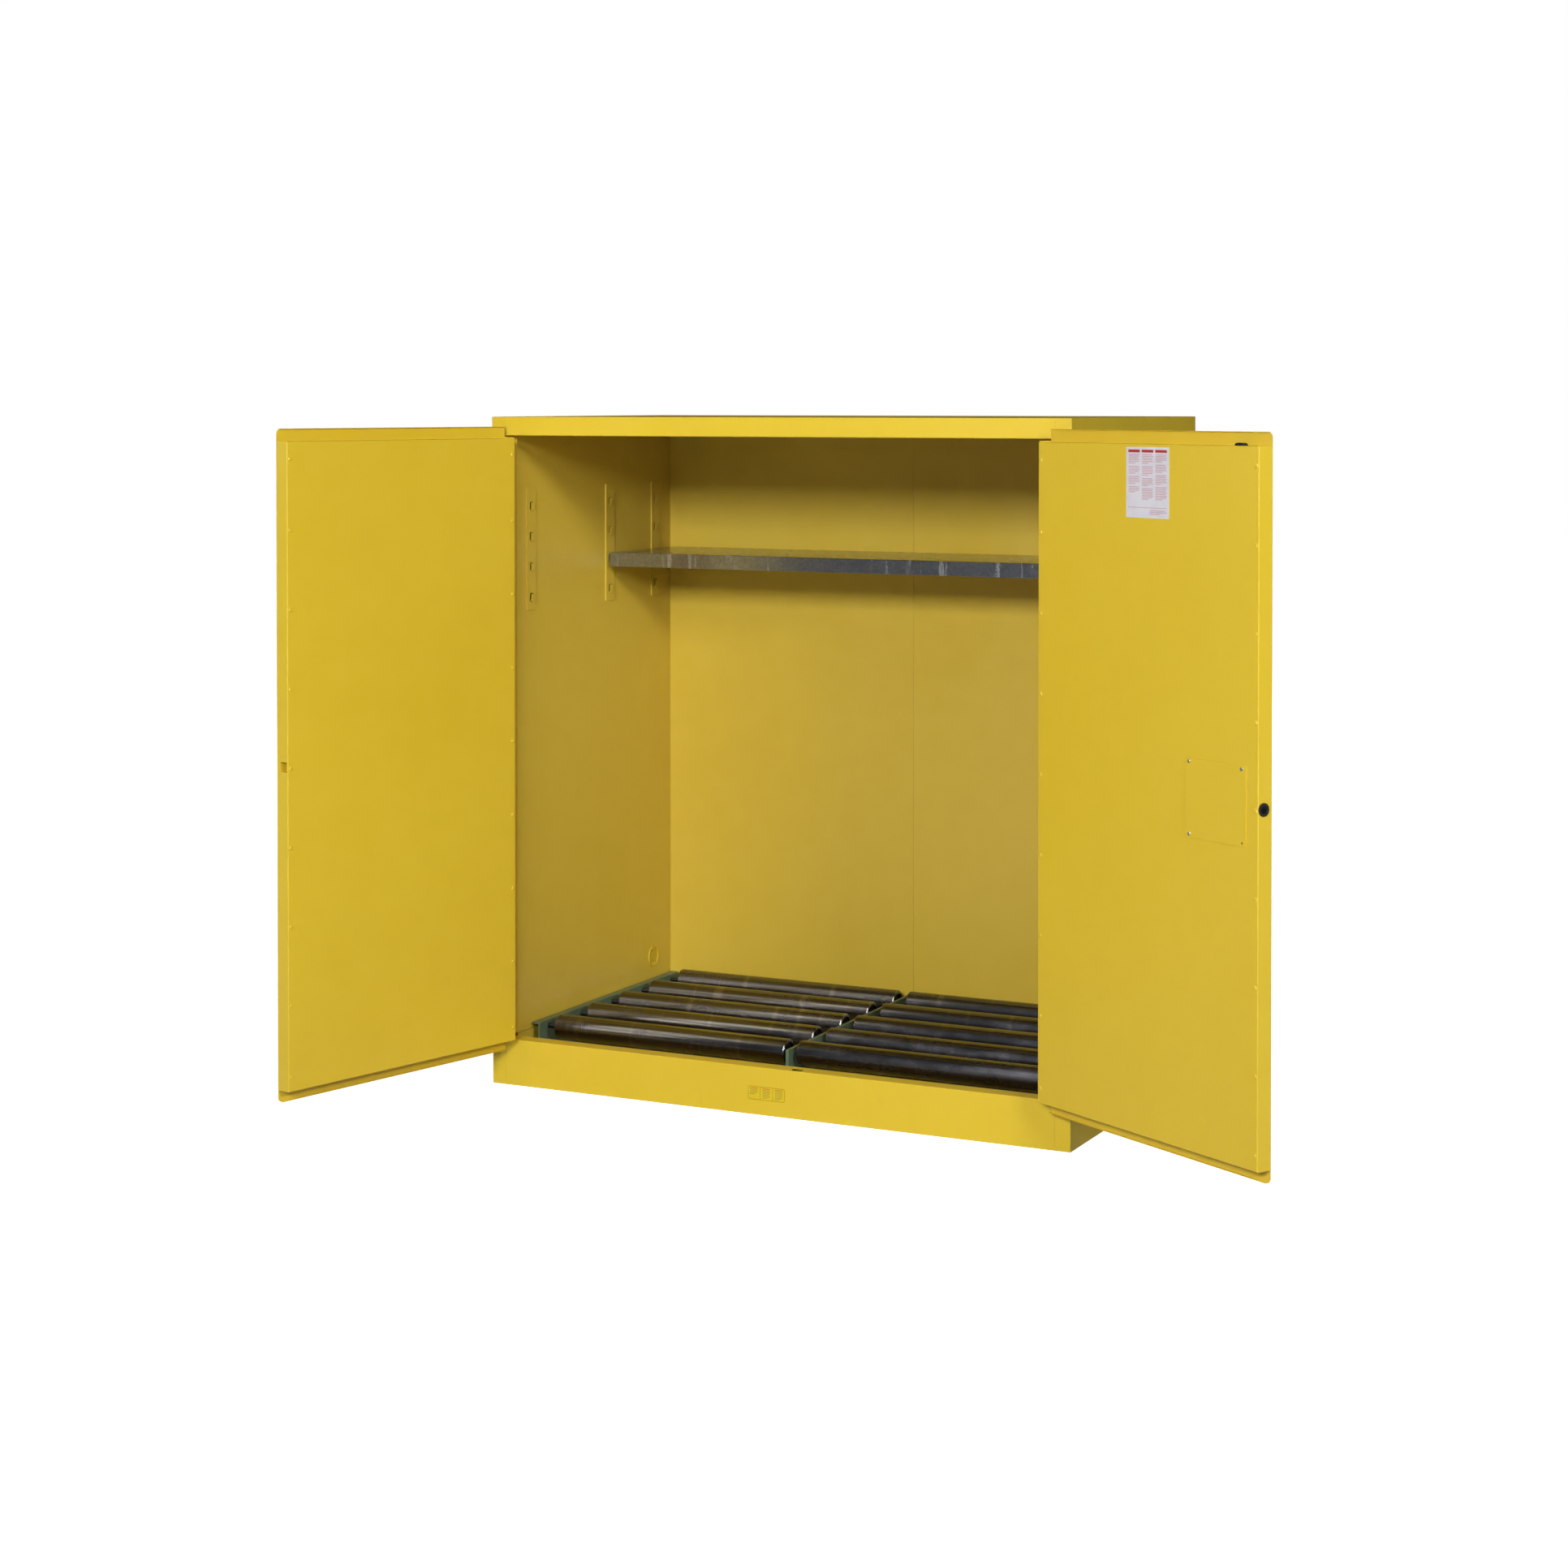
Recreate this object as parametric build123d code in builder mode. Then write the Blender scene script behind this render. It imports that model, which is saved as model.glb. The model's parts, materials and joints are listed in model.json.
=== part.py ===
from build123d import *
import os
from math import cos, pi, radians, sin

# Two-door safety cabinet for two upright drums, with a roller bed on its floor. Millimetres.
# Origin at the middle of the base, +X to the right, +Y to the back, +Z up.
# On a door, u runs from the hinge axis to the free edge and n from the outer skin inwards.
# Both doors stand open.

# ---------------------------------------------------------------- driving dimensions
WIDTH, DEPTH, HEIGHT = 1511.0, 870.0, 1638.0
SHEET = 1.2  # steel sheet of every wall
FIT_GAP = 0.2  # slack between welded neighbours

# Doorway
JAMB_X = 717.8  # half width between the jambs
JAMB_DEPTH = 43.0  # how far jambs, header and sill reach back
SILL_Z = 112.0  # top of the sill
HEADER_Z = 1592.0  # underside of the header
LINTEL_X = 717.6  # half length of header and sill
BEND = 2.0  # outer bend radius of folded sheet

# Inner walls
INNER_X = 710.0  # half width inside
INNER_BACK_Y = 396.0  # inner face of the back wall
INNER_TOP_Z = 1594.2  # underside of the ceiling
LINER_FOOT_Z = 118.7  # lower edge of the inner walls
PAN_RIM_Z = 117.6
PAN_FLOOR_Z = 45.4
SEAM_X = 8.0  # seam between the two back panels

# Shelf and its standards
STANDARD_YS = (107.0, 500.0, 744.0)  # behind the front plane
STANDARD_WIDTH, STANDARD_THICK = 44.0, 3.0
STANDARD_Z0, STANDARD_Z1 = 1158.0, 1461.0
HOOK_TOP_Z, HOOK_PITCH, HOOK_COUNT = 1417.0, 75.5, 4
SHELF_TOP_Z, SHELF_FLANGE = 1284.0, 36.0
SHELF_FRONT, SHELF_BACK = 481.0, 826.0  # behind the front plane
SHELF_X = 698.0

# Roller bed
ROLLER_R, ROLLER_WALL = 30.0, 3.0
ROLLER_IN, ROLLER_OUT = 15.0, 653.0  # distance of the roller ends from the middle
ROLLER_Z = 120.0
ROLLER_FIRST, ROLLER_PITCH, ROLLER_ROWS = 148.0, 160.0, 5  # first row behind the front plane
AXLE_R = 6.35  # across the corners of the hexagon, halved
RAIL_X, RAIL_PLATE, RAIL_FLANGE = 688.0, 4.0, 18.0
RAIL_FRONT, RAIL_BACK, RAIL_TOP_Z = 104.0, 829.0, 134.0
ROLLER_LIP, ROLLER_LIP_R, ROLLER_ROUND = 4.0, 22.0, 5.0  # tube ends rolled in over the bearings
BEARING_R, BEARING_WIDTH, BEARING_INSET = 26.6, 10.0, 4.3

# Base
CHANNEL_XS = (-690.0, -230.0, 230.0, 690.0)
CHANNEL_WIDTH = 44.0
FOOT_Y, FOOT_PAD_R, FOOT_STEM_R = 360.0, 18.0, 6.0

# Hinges
PIVOT_X, PIVOT_Y = 715.5, -11.4  # from the middle, and behind the front plane
PIVOT_N = -5.0  # hinge axis, in front of the door skin
KNUCKLE_R, PIN_R, PIN_SLACK = 4.5, 2.4, 0.05
KNUCKLE_COUNT, KNUCKLE_PITCH, KNUCKLE_GAP = 29, 50.8, 0.5
HINGE_Z0 = 114.5
LEAF = 1.2
LEAF_CLEAR = 4.8  # full-length part of a leaf starts this far from the axis

# Doors
OPEN_ANGLE = {"left": 104.2, "right": 149.7}
DOOR_U0, DOOR_U1 = 2.0, 713.5
SKIN_Z0, SKIN_Z1, SKIN_RETURN = 88.7, 1614.0, 5.4
SKIN_CORNER_R = 12.0
BOX_Z0, BOX_Z1, BOX_N = 117.0, 1585.5, 37.1
DIMPLE_INSET, DIMPLE_R, DIMPLE_HIGH, DIMPLE_ROUND = 8.5, 4.3, 1.9, 1.6
DIMPLE_MID_Z, DIMPLE_PITCH, DIMPLE_END = 848.0, 179.0, 698.0  # the end ones stand closer

# Latch of the right door
LATCH_U, LATCH_Z, LATCH_N = 645.0, 851.0, 22.5
ROD_R, ROD_SLACK = 5.0, 0.3
PIN_DRAWN, THROW, HANDLE_TURN = 12.0, 12.0, 60.0
CAM_R, CAM_N0, CAM_THICK, CAM_PIN_R, CAM_SLOT = 31.0, 10.0, 4.0, 3.0, 7.0
SPINDLE_R = 6.0
BULLET_U, BULLET_N, BULLET_LONG = 24.0, 14.0, 22.0
BULLET_TOP_Z, BULLET_FOOT_Z = 1591.4, 112.6
BOLT_R = 8.0
GUIDE_ZS = (150.0, 430.0, 1280.0, 1550.0)
GUIDE_RIM_R, GUIDE_BODY_R = 14.0, 10.0
LEVER_LONG, LEVER_WIDE, LEVER_THICK = 118.0, 24.0, 11.0
LOCK_Z, LOCK_R = 901.0, 6.4

# Covers and labels of the right door
COVER_U0, COVER_U1, COVER_Z0, COVER_Z1, COVER_THICK = 495.0, 679.0, 771.0, 937.0, 1.5
COVER_INSET_U, COVER_INSET_Z, COVER_HOLE_R = 12.0, 7.5, 2.6  # three screws and one empty hole
LABEL_U0, LABEL_U1, LABEL_Z0, LABEL_Z1, LABEL_THICK = 302.0, 440.0, 1429.0, 1579.0, 0.3
SILL_LABEL_X, SILL_LABEL_Z = (-52.0, 46.0), (34.0, 68.0)

# Vents: the left one low, the right one high, both near the back
VENT_Y = 300.0
VENT_Z = {"left": 190.0, "right": 1515.0}
VENT_R, VENT_BORE_R, VENT_FLANGE_R, VENT_OUT = 27.0, 24.0, 36.0, 9.5
CAP_R, CAP_LONG = 32.0, 14.0
STUD_Y, STUD_Z, STUD_R, STUD_OUT = 380.0, 140.0, 3.0, 20.0

# ---------------------------------------------------------------- derived places
front, back = -DEPTH / 2, DEPTH / 2
half = WIDTH / 2
pivot_y = front + PIVOT_Y
mid_z = HEIGHT / 2
roller_ys = [front + ROLLER_FIRST + ROLLER_PITCH * row for row in range(ROLLER_ROWS)]
hook_zs = [HOOK_TOP_Z - HOOK_PITCH * step for step in range(HOOK_COUNT)]
bolt_x = PIVOT_X - LATCH_U
bolt_y = front + PIVOT_Y - PIVOT_N + LATCH_N
sides = {"left": -1, "right": 1}

os.makedirs("parts", exist_ok=True)


def save(builder, name):
    """Label a finished piece and write it under its own name."""
    builder.part.label = name
    export_step(builder.part, f"parts/{name}.step")


def span(low, high):
    """Middle and length of an interval."""
    return (low + high) / 2, high - low


def block(x, y, z, mode=Mode.ADD):
    """A box between the given limits on each axis of the current part."""
    (cx, dx), (cy, dy), (cz, dz) = span(*x), span(*y), span(*z)
    with Locations((cx, cy, cz)):
        Box(dx, dy, dz, mode=mode)


def door_plane(side):
    """Plane at the foot of a hinge axis: X along the open door, Z up."""
    turn = radians(OPEN_ANGLE[side])
    along = (cos(turn), -sin(turn), 0) if side == "left" else (-cos(turn), -sin(turn), 0)
    return Plane(origin=(sides[side] * PIVOT_X, pivot_y, 0), x_dir=along, z_dir=(0, 0, 1))


def n_span(side, low, high):
    """Interval along the door plane's Y axis for depths low to high behind the skin."""
    ends = [-sides[side] * (value - PIVOT_N) for value in (low, high)]
    return min(ends), max(ends)


def n_at(side, depth):
    """Door plane Y of a depth behind the skin."""
    return -sides[side] * (depth - PIVOT_N)


# ---------------------------------------------------------------- outer walls
for side, sign in sides.items():
    with BuildPart() as side_panel:
        with BuildSketch():
            with BuildLine():
                Polyline(
                    (sign * half, front),
                    (sign * half, back),
                    (sign * (half - SHEET), back),
                    (sign * (half - SHEET), front + SHEET),
                    (sign * (JAMB_X + SHEET), front + SHEET),
                    (sign * (JAMB_X + SHEET), front + JAMB_DEPTH),
                    (sign * JAMB_X, front + JAMB_DEPTH),
                    (sign * JAMB_X, front),
                    close=True,
                )
            make_face()
        extrude(amount=HEIGHT - SHEET)
        outer_corner = side_panel.edges().filter_by(Axis.Z).group_by(Axis.Y)[0].sort_by(Axis.X)
        fillet(outer_corner[-1 if sign > 0 else 0], BEND)
        with Locations((sign * half, VENT_Y, VENT_Z[side])):
            Cylinder(VENT_R + FIT_GAP, 4 * SHEET, rotation=(0, 90, 0), mode=Mode.SUBTRACT)
    save(side_panel, f"{side}_side_panel")

with BuildPart() as back_panel:
    block((-half + SHEET, half - SHEET), (back - SHEET, back), (0, HEIGHT - SHEET))
save(back_panel, "back_panel")

with BuildPart() as top_panel:
    block((-half, half), (front, back), (HEIGHT - SHEET, HEIGHT))
    fillet(top_panel.edges().filter_by(Axis.Z), BEND)
save(top_panel, "top_panel")

with BuildPart() as bottom_panel:
    block((-half + SHEET, half - SHEET), (front + SHEET, back - SHEET), (0, SHEET))
    with GridLocations(CHANNEL_XS[-1] - CHANNEL_XS[0], 2 * FOOT_Y, 2, 2):
        Cylinder(FOOT_PAD_R + 1, 4 * SHEET, mode=Mode.SUBTRACT)
    for sign in sides.values():
        notch_x = sorted((sign * (JAMB_X - FIT_GAP), sign * half))
        block(notch_x, (front, front + JAMB_DEPTH + FIT_GAP), (0, SHEET), Mode.SUBTRACT)
save(bottom_panel, "bottom_panel")

# ---------------------------------------------------------------- header and sill
HEADER_UPTURN = 20.0
STRIKE_SLACK = 2.0
with BuildPart() as header:
    with BuildSketch(Plane.YZ):
        with BuildLine():
            Polyline(
                (front, HEIGHT - SHEET),
                (front, HEADER_Z),
                (front + JAMB_DEPTH, HEADER_Z),
                (front + JAMB_DEPTH, HEADER_Z + HEADER_UPTURN),
                (front + JAMB_DEPTH - SHEET, HEADER_Z + HEADER_UPTURN),
                (front + JAMB_DEPTH - SHEET, HEADER_Z + SHEET),
                (front + SHEET, HEADER_Z + SHEET),
                (front + SHEET, HEIGHT - SHEET),
                close=True,
            )
        make_face()
    extrude(amount=LINTEL_X, both=True)
    fillet(header.edges().filter_by(Axis.X).group_by(Axis.Z)[0], BEND)
    with Locations((bolt_x, bolt_y, HEADER_Z)):
        Box(BULLET_U + 2 * STRIKE_SLACK, BULLET_N + 2 * STRIKE_SLACK, 4 * SHEET, mode=Mode.SUBTRACT)
save(header, "header")

with BuildPart() as sill:
    block((-LINTEL_X, LINTEL_X), (front, front + JAMB_DEPTH), (0, SILL_Z))
    fillet(sill.edges().filter_by(Axis.X).group_by(Axis.Z)[-1].sort_by(Axis.Y)[0], BEND)
    block((-LINTEL_X, LINTEL_X), (front + SHEET, front + JAMB_DEPTH), (0, SILL_Z - SHEET), Mode.SUBTRACT)
    with Locations((bolt_x, bolt_y, SILL_Z)):
        Box(BULLET_U + 2 * STRIKE_SLACK, BULLET_N + 2 * STRIKE_SLACK, 4 * SHEET, mode=Mode.SUBTRACT)
save(sill, "sill")

with BuildPart() as sill_label:
    block(SILL_LABEL_X, (front - LABEL_THICK, front), SILL_LABEL_Z)
save(sill_label, "sill_label")

# ---------------------------------------------------------------- inner walls
HOOK_WIDE, HOOK_HIGH, HOOK_THICK, HOOK_REACH = 15.0, 19.0, 1.5, 4.5
liner_front = front + JAMB_DEPTH + FIT_GAP
for side, sign in sides.items():
    with BuildPart() as liner:
        with BuildSketch(Plane.XY.offset(LINER_FOOT_Z)):
            with BuildLine():
                Polyline(
                    (sign * INNER_X, liner_front),
                    (sign * (JAMB_X + SHEET), liner_front),
                    (sign * (JAMB_X + SHEET), liner_front + SHEET),
                    (sign * (INNER_X + SHEET), liner_front + SHEET),
                    (sign * (INNER_X + SHEET), INNER_BACK_Y - FIT_GAP),
                    (sign * INNER_X, INNER_BACK_Y - FIT_GAP),
                    close=True,
                )
            make_face()
        extrude(amount=INNER_TOP_Z - FIT_GAP - LINER_FOOT_Z)
        with Locations((sign * INNER_X, VENT_Y, VENT_Z[side])):
            Cylinder(VENT_R + FIT_GAP, 4 * SHEET, rotation=(0, 90, 0), mode=Mode.SUBTRACT)
        with Locations(*[(sign * INNER_X, front + depth, z) for depth in STANDARD_YS for z in hook_zs]):
            Box(4 * SHEET, HOOK_WIDE, HOOK_HIGH, mode=Mode.SUBTRACT)
    save(liner, f"{side}_liner")

SEAM_FLANGE = 12.0
for side, sign in sides.items():
    seam = SEAM_X + sign * FIT_GAP
    outer = sign * (INNER_X + SHEET)
    with BuildPart() as back_liner:
        with BuildSketch(Plane.XY.offset(LINER_FOOT_Z)):
            with BuildLine():
                Polyline(
                    (outer, INNER_BACK_Y),
                    (seam, INNER_BACK_Y),
                    (seam, INNER_BACK_Y + SEAM_FLANGE),
                    (seam + sign * SHEET, INNER_BACK_Y + SEAM_FLANGE),
                    (seam + sign * SHEET, INNER_BACK_Y + SHEET),
                    (outer, INNER_BACK_Y + SHEET),
                    close=True,
                )
            make_face()
        extrude(amount=INNER_TOP_Z - FIT_GAP - LINER_FOOT_Z)
    save(back_liner, f"back_liner_{side}")

with BuildPart() as top_liner:
    block(
        (-INNER_X - SHEET, INNER_X + SHEET),
        (liner_front, INNER_BACK_Y + SHEET),
        (INNER_TOP_Z, INNER_TOP_Z + SHEET),
    )
save(top_liner, "top_liner")

# Leakproof tray. Its front wall stays below the top of the sill.
pan_front, pan_back = liner_front, INNER_BACK_Y + SHEET
pan_base = PAN_FLOOR_Z - SHEET
with BuildPart() as floor_pan:
    block((-INNER_X - SHEET, INNER_X + SHEET), (pan_front, pan_back), (pan_base, PAN_RIM_Z))
    pan_depth = (pan_front + SHEET, pan_back - SHEET)
    block((-INNER_X, INNER_X), pan_depth, (PAN_FLOOR_Z, PAN_RIM_Z), Mode.SUBTRACT)
    block((-INNER_X, INNER_X), (pan_front, pan_front + SHEET), (SILL_Z - 1, PAN_RIM_Z), Mode.SUBTRACT)
save(floor_pan, "floor_pan")

# ---------------------------------------------------------------- base
FOOT_PLATE_Z, FOOT_PLATE_THICK, FOOT_PLATE_LONG = 16.0, 5.0, 60.0
channel_front, channel_back = front + JAMB_DEPTH + 2, INNER_BACK_Y
with BuildPart() as base_channels:
    for x in CHANNEL_XS:
        wall = CHANNEL_WIDTH / 2
        block((x - wall, x + wall), (channel_front, channel_back), (SHEET, pan_base))
        inner = (x - wall + 2 * SHEET, x + wall - 2 * SHEET)
        block(inner, (channel_front, channel_back), (SHEET, pan_base - 2 * SHEET), Mode.SUBTRACT)
    with Locations((0, 0, FOOT_PLATE_Z + FOOT_PLATE_THICK / 2)):
        with GridLocations(CHANNEL_XS[-1] - CHANNEL_XS[0], 2 * FOOT_Y, 2, 2):
            Box(CHANNEL_WIDTH - 4 * SHEET, FOOT_PLATE_LONG, FOOT_PLATE_THICK)
            Cylinder(FOOT_STEM_R + 0.1, 3 * FOOT_PLATE_THICK, mode=Mode.SUBTRACT)
save(base_channels, "base_channels")

FOOT_LIFT, FOOT_PAD_HIGH, FOOT_STEM_TOP = 0.6, 9.0, 38.0
with BuildPart() as levelling_feet:
    with GridLocations(CHANNEL_XS[-1] - CHANNEL_XS[0], 2 * FOOT_Y, 2, 2):
        with Locations((0, 0, FOOT_LIFT + FOOT_PAD_HIGH / 2)):
            Cylinder(FOOT_PAD_R, FOOT_PAD_HIGH)
        with Locations((0, 0, (FOOT_LIFT + FOOT_STEM_TOP) / 2)):
            Cylinder(FOOT_STEM_R, FOOT_STEM_TOP - FOOT_LIFT)
    fillet(levelling_feet.edges().filter_by(GeomType.CIRCLE).group_by(Axis.Z)[0], 2)
save(levelling_feet, "levelling_feet")

# ---------------------------------------------------------------- shelf
with BuildPart() as shelf_standards:
    for sign in sides.values():
        for depth in STANDARD_YS:
            y = front + depth
            wall_x, face_x = sign * INNER_X, sign * (INNER_X - STANDARD_THICK)
            tip_x = face_x - sign * HOOK_REACH
            strip_y = (y - STANDARD_WIDTH / 2, y + STANDARD_WIDTH / 2)
            hook_y = (y - HOOK_WIDE / 2, y + HOOK_WIDE / 2)
            block(sorted((wall_x, face_x)), strip_y, (STANDARD_Z0, STANDARD_Z1))
            for z in hook_zs:
                foot = z - HOOK_HIGH / 2
                block(sorted((wall_x, face_x)), hook_y, (foot, z + HOOK_HIGH / 2), Mode.SUBTRACT)
                block(sorted((face_x + sign, tip_x)), hook_y, (foot - HOOK_THICK, foot))
                tab = sorted((tip_x, tip_x + sign * HOOK_THICK))
                block(tab, hook_y, (foot - HOOK_THICK, foot + HOOK_HIGH - HOOK_THICK))
save(shelf_standards, "shelf_standards")

shelf_y = (front + SHELF_FRONT, front + SHELF_BACK)
shelf_z0 = SHELF_TOP_Z - SHELF_FLANGE
with BuildPart() as shelf:
    block((-SHELF_X, SHELF_X), shelf_y, (shelf_z0, SHELF_TOP_Z))
    fillet(shelf.edges().filter_by(Axis.X).group_by(Axis.Z)[-1], BEND)
    fillet(shelf.edges().filter_by(Axis.Z), BEND)
    block(
        (-SHELF_X + SHEET, SHELF_X - SHEET),
        (shelf_y[0] + SHEET, shelf_y[1] - SHEET),
        (shelf_z0, SHELF_TOP_Z - SHEET),
        Mode.SUBTRACT,
    )
save(shelf, "shelf")

# Each hanger drops into a hook, laps over its tab and reaches in under the shelf.
CLIP_THICK, CLIP_WIDE, CLIP_REACH = 1.6, 13.0, 26.0
clip_z0 = hook_zs[2] - HOOK_HIGH / 2 + 0.3
clip_z1 = hook_zs[2] + HOOK_HIGH / 2 + 0.8
with BuildPart() as shelf_hooks:
    for sign in sides.values():
        for depth in STANDARD_YS[1:]:
            y = front + depth
            clip_y = (y - CLIP_WIDE / 2, y + CLIP_WIDE / 2)
            leg = INNER_X - STANDARD_THICK - 0.4
            lap = SHELF_X + 1.2
            block(sorted((sign * (leg - CLIP_THICK), sign * leg)), clip_y, (clip_z0, clip_z1))
            block(sorted((sign * lap, sign * leg)), clip_y, (clip_z1, clip_z1 + CLIP_THICK))
            drop_x = sorted((sign * lap, sign * (lap + CLIP_THICK)))
            block(drop_x, clip_y, (shelf_z0 - CLIP_THICK, clip_z1 + CLIP_THICK))
            reach_x = sorted((sign * (lap - CLIP_REACH), sign * (lap + CLIP_THICK)))
            block(reach_x, clip_y, (shelf_z0 - CLIP_THICK, shelf_z0))
save(shelf_hooks, "shelf_hooks")

# ---------------------------------------------------------------- roller bed
rail_y = (front + RAIL_FRONT, front + RAIL_BACK)
AXLE_SLACK = 0.25


def axle_holes(plane, thick):
    """Cut the row of hexagonal axle holes through a rail web."""
    with BuildSketch(plane) as holes:
        with Locations(*[(y, ROLLER_Z) for y in roller_ys]):
            RegularPolygon(AXLE_R + AXLE_SLACK, 6)
    extrude(holes.sketch, amount=thick, both=True, mode=Mode.SUBTRACT)


for side, sign in sides.items():
    with BuildPart() as rail:
        block(sorted((sign * (RAIL_X - RAIL_PLATE), sign * RAIL_X)), rail_y, (PAN_FLOOR_Z, RAIL_TOP_Z))
        flange_x = sorted((sign * (RAIL_X - RAIL_PLATE), sign * (RAIL_X + RAIL_FLANGE)))
        block(flange_x, rail_y, (RAIL_TOP_Z - RAIL_PLATE, RAIL_TOP_Z))
        axle_holes(Plane.YZ.offset(sign * RAIL_X), 2 * RAIL_PLATE)
    save(rail, f"{side}_rail")

with BuildPart() as centre_rail:
    block((-RAIL_PLATE, RAIL_PLATE), rail_y, (PAN_FLOOR_Z, RAIL_TOP_Z))
    axle_holes(Plane.YZ, 2 * RAIL_PLATE)
save(centre_rail, "centre_rail")

# Angle bars across the pan, between the first two and the last two rows of rollers.
TIE_LEG, TIE_THICK = 32.0, 4.0
tie_x = (RAIL_PLATE, RAIL_X - RAIL_PLATE)
with BuildPart() as rail_ties:
    for sign in sides.values():
        for row in (0.5, ROLLER_ROWS - 1.5):
            y = roller_ys[0] + ROLLER_PITCH * row
            across = sorted((sign * tie_x[0], sign * tie_x[1]))
            block(across, (y, y + TIE_LEG), (PAN_FLOOR_Z, PAN_FLOOR_Z + TIE_THICK))
            block(across, (y, y + TIE_THICK), (PAN_FLOOR_Z, PAN_FLOOR_Z + TIE_LEG))
save(rail_ties, "rail_ties")

AXLE_END_GAP = 0.5
axle_long = RAIL_X + 4 - AXLE_END_GAP
with BuildPart() as roller_axles:
    for sign in sides.values():
        with BuildSketch(Plane.YZ.offset(sign * (AXLE_END_GAP + axle_long / 2))):
            with Locations(*[(y, ROLLER_Z) for y in roller_ys]):
                RegularPolygon(AXLE_R, 6)
        extrude(amount=axle_long / 2, both=True)
save(roller_axles, "roller_axles")

bearing_xs = (ROLLER_IN + BEARING_INSET, ROLLER_OUT - BEARING_INSET - BEARING_WIDTH)
with BuildPart() as roller_bearings:
    for sign in sides.values():
        for start in bearing_xs:
            middle = sign * (start + BEARING_WIDTH / 2)
            with Locations(*[(middle, y, ROLLER_Z) for y in roller_ys]):
                Cylinder(BEARING_R, BEARING_WIDTH, rotation=(0, 90, 0))
                Cylinder(AXLE_R + AXLE_SLACK, BEARING_WIDTH, rotation=(0, 90, 0), mode=Mode.SUBTRACT)
save(roller_bearings, "roller_bearings")

roller_mid, roller_long = span(ROLLER_IN, ROLLER_OUT)
for side, sign in sides.items():
    for row, y in enumerate(roller_ys, start=1):
        with BuildPart() as roller:
            with Locations((sign * roller_mid, y, ROLLER_Z)):
                Cylinder(ROLLER_R, roller_long, rotation=(0, 90, 0))
                fillet(roller.edges().filter_by(GeomType.CIRCLE), ROLLER_ROUND)
                hollow = roller_long - 2 * ROLLER_LIP
                Cylinder(ROLLER_R - ROLLER_WALL, hollow, rotation=(0, 90, 0), mode=Mode.SUBTRACT)
                Cylinder(ROLLER_LIP_R, roller_long, rotation=(0, 90, 0), mode=Mode.SUBTRACT)
        save(roller, f"roller_{side[0]}{row}")

# ---------------------------------------------------------------- hinges
knuckle_zs = [HINGE_Z0 + KNUCKLE_PITCH * (step + 0.5) for step in range(KNUCKLE_COUNT)]
hinge_z = (HINGE_Z0, HINGE_Z0 + KNUCKLE_PITCH * KNUCKLE_COUNT)
knuckle_long = KNUCKLE_PITCH - KNUCKLE_GAP
LEAF_OFFSET = {"frame": 1.0, "door": 0.8}  # gap between the axis plane and the leaf
LEAF_DEEP = {"frame": 40.0, "door": 39.0}


def leaf_with_knuckles(plane, toward, deep, offset, zs):
    """Hinge leaf standing off the axis plane, with its own share of the knuckles."""
    with BuildPart(plane) as leaf:
        plate_x = sorted((toward[0] * offset, toward[0] * (offset + LEAF)))
        block(plate_x, sorted((toward[1] * LEAF_CLEAR, toward[1] * deep)), hinge_z)
        with Locations(*[(0, 0, z) for z in zs]):
            Cylinder(KNUCKLE_R, knuckle_long)
        for z in zs:
            tab_z = (z - knuckle_long / 2, z + knuckle_long / 2)
            block(plate_x, sorted((toward[1] * PIN_R, toward[1] * (LEAF_CLEAR + 1))), tab_z)
        with Locations((0, 0, sum(hinge_z) / 2)):
            Cylinder(PIN_R + PIN_SLACK, hinge_z[1] - hinge_z[0] + 2, mode=Mode.SUBTRACT)
    return leaf


for side, sign in sides.items():
    frame_plane = Plane(origin=(sign * PIVOT_X, pivot_y, 0), z_dir=(0, 0, 1))
    frame_leaf = leaf_with_knuckles(
        frame_plane, (sign, 1), LEAF_DEEP["frame"], LEAF_OFFSET["frame"], knuckle_zs[0::2]
    )
    save(frame_leaf, f"{side}_frame_leaf")
    door_leaf = leaf_with_knuckles(
        door_plane(side), (1, -sign), LEAF_DEEP["door"], LEAF_OFFSET["door"], knuckle_zs[1::2]
    )
    save(door_leaf, f"{side}_door_leaf")

with BuildPart() as hinge_pins:
    with Locations(*[(sign * PIVOT_X, pivot_y, sum(hinge_z) / 2) for sign in sides.values()]):
        Cylinder(PIN_R, hinge_z[1] - hinge_z[0])
save(hinge_pins, "hinge_pins")

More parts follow.
